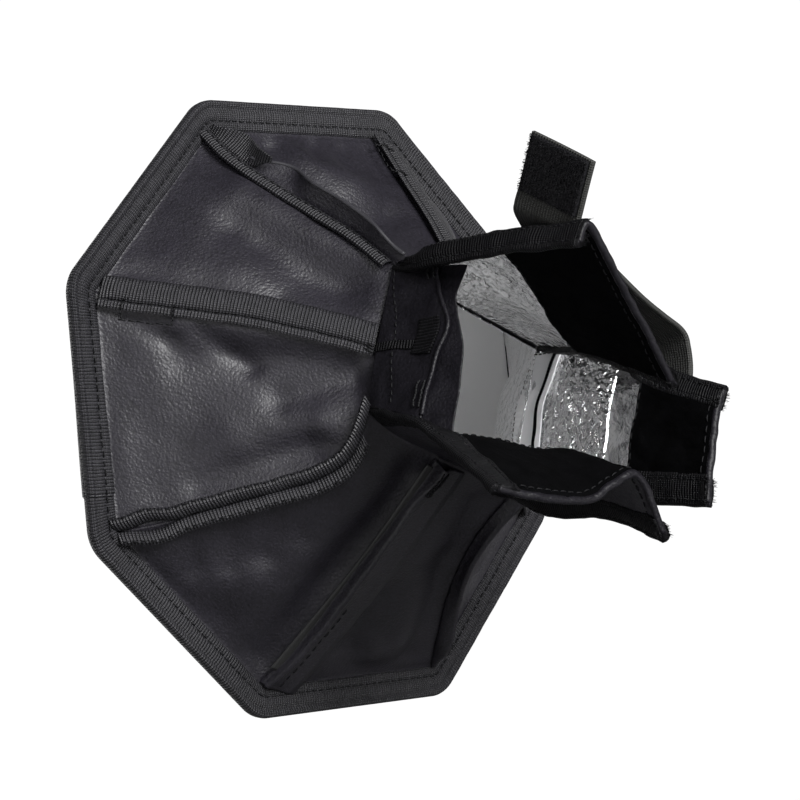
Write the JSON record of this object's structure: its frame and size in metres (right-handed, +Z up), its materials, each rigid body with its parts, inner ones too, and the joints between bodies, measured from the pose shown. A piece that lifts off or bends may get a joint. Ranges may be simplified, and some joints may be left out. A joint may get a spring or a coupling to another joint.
{
  "type": "octagonal softbox",
  "caption": "Small octagonal softbox for a shoe-mount flash: bound rim with a white diffuser, silver-lined black cloth shell, and a soft neck of hinged flaps with an elastic strap.",
  "frame": {"origin": "on the box's own axis, at the seam where the shell becomes the neck, which is where the front of a flash head stops", "axes": "+Y along the axis and out of the neck, so the diffuser faces -Y; +Z up, square to a flat of the octagon; +X to the left as seen from behind the neck"},
  "size_m": [0.2, 0.1502, 0.2],
  "materials": {
    "black_nylon": "coated woven nylon with a fine pebbled sheen",
    "ribbed_binding": "black ribbed grosgrain tape, stitched",
    "loop_pile": "black brushed loop pile",
    "elastic": "dark ribbed elastic webbing",
    "hook_tape": "black hook tape",
    "silver_lining": "metallised silver cloth, pebbled and shiny",
    "diffuser_cloth": "white translucent woven nylon",
    "white_cloth": "white woven cloth",
    "rib_plastic": "springy plastic strip",
    "frame_plastic": "stiff plastic sheet",
    "thread": "black polyester thread"
  },
  "bodies": {
    "shell": {"diffuser": "diffuser_cloth", "rim_frame": "frame_plastic", "rim_binding": "ribbed_binding", "rim_binding_end": "ribbed_binding", "shell_panel_1": "black_nylon", "shell_panel_2": "black_nylon", "shell_panel_3": "black_nylon", "shell_panel_4": "black_nylon", "shell_panel_5": "black_nylon", "shell_panel_6": "black_nylon", "shell_panel_7": "black_nylon", "shell_panel_8": "black_nylon", "lining_panel_1": "silver_lining", "lining_panel_2": "silver_lining", "lining_panel_3": "silver_lining", "lining_panel_4": "silver_lining", "lining_panel_5": "silver_lining", "lining_panel_6": "silver_lining", "lining_panel_7": "silver_lining", "lining_panel_8": "silver_lining", "corner_fin_1": "ribbed_binding", "corner_fin_3": "ribbed_binding", "corner_fin_5": "ribbed_binding", "corner_fin_7": "ribbed_binding", "rib_tape_2": "ribbed_binding", "rib_tape_4": "ribbed_binding", "rib_tape_6": "ribbed_binding", "rib_tape_8": "ribbed_binding", "rib_2": "rib_plastic", "rib_4": "rib_plastic", "rib_6": "rib_plastic", "rib_8": "rib_plastic", "rib_stitches": "thread", "lining_patch": "white_cloth"},
    "neck_flap_1": {"flap_1": "black_nylon", "flap_lining_1": "silver_lining", "flap_1_hem": "ribbed_binding"},
    "neck_flap_2": {"flap_2": "black_nylon", "flap_lining_2": "silver_lining", "loop_band_2": "loop_pile", "flap_2_edge_left": "ribbed_binding", "flap_2_edge_right": "ribbed_binding"},
    "neck_flap_3": {"flap_3": "black_nylon", "flap_lining_3": "silver_lining", "loop_band_3": "loop_pile", "flap_3_edge_low": "ribbed_binding", "flap_3_edge_high": "ribbed_binding", "strap_root": "elastic", "strap_stitches": "thread"},
    "neck_flap_4": {"flap_4": "black_nylon", "flap_lining_4": "silver_lining", "loop_band_4": "loop_pile", "flap_4_edge_left": "ribbed_binding", "flap_4_edge_right": "ribbed_binding"},
    "strap_middle": {"strap_band": "elastic"},
    "strap_tail": {"strap_end": "elastic", "hook_patch": "hook_tape"}
  },
  "joints": [
    {"name": "flap_1_fold", "type": "hinge", "parent": "shell", "child": "neck_flap_1", "pos_m": [0.03095, 0, 0.01282], "axis": [0.3827, 0, -0.9239], "range_deg": [-8, 70]},
    {"name": "flap_2_fold", "type": "hinge", "parent": "shell", "child": "neck_flap_2", "pos_m": [-0.00957, 0, 0.0231], "axis": [0.9239, 0, 0.3827], "range_deg": [-9, 3]},
    {"name": "flap_3_fold", "type": "hinge", "parent": "shell", "child": "neck_flap_3", "pos_m": [-0.03095, 0, -0.01282], "axis": [-0.3827, 0, 0.9239], "range_deg": [-5, 60]},
    {"name": "flap_4_fold", "type": "hinge", "parent": "shell", "child": "neck_flap_4", "pos_m": [0.00957, 0, -0.0231], "axis": [-0.9239, 0, -0.3827], "range_deg": [-17, 60]},
    {"name": "strap_unwrap", "type": "hinge", "parent": "neck_flap_3", "child": "strap_middle", "pos_m": [-0.04145, 0.051, 0.00339], "axis": [0, -1, 0], "range_deg": [0, 120]},
    {"name": "strap_tail_bend", "type": "hinge", "parent": "strap_middle", "child": "strap_tail", "pos_m": [0.01705, 0.061, 0.04116], "axis": [0, 1, 0], "range_deg": [-60, 50]}
  ]
}
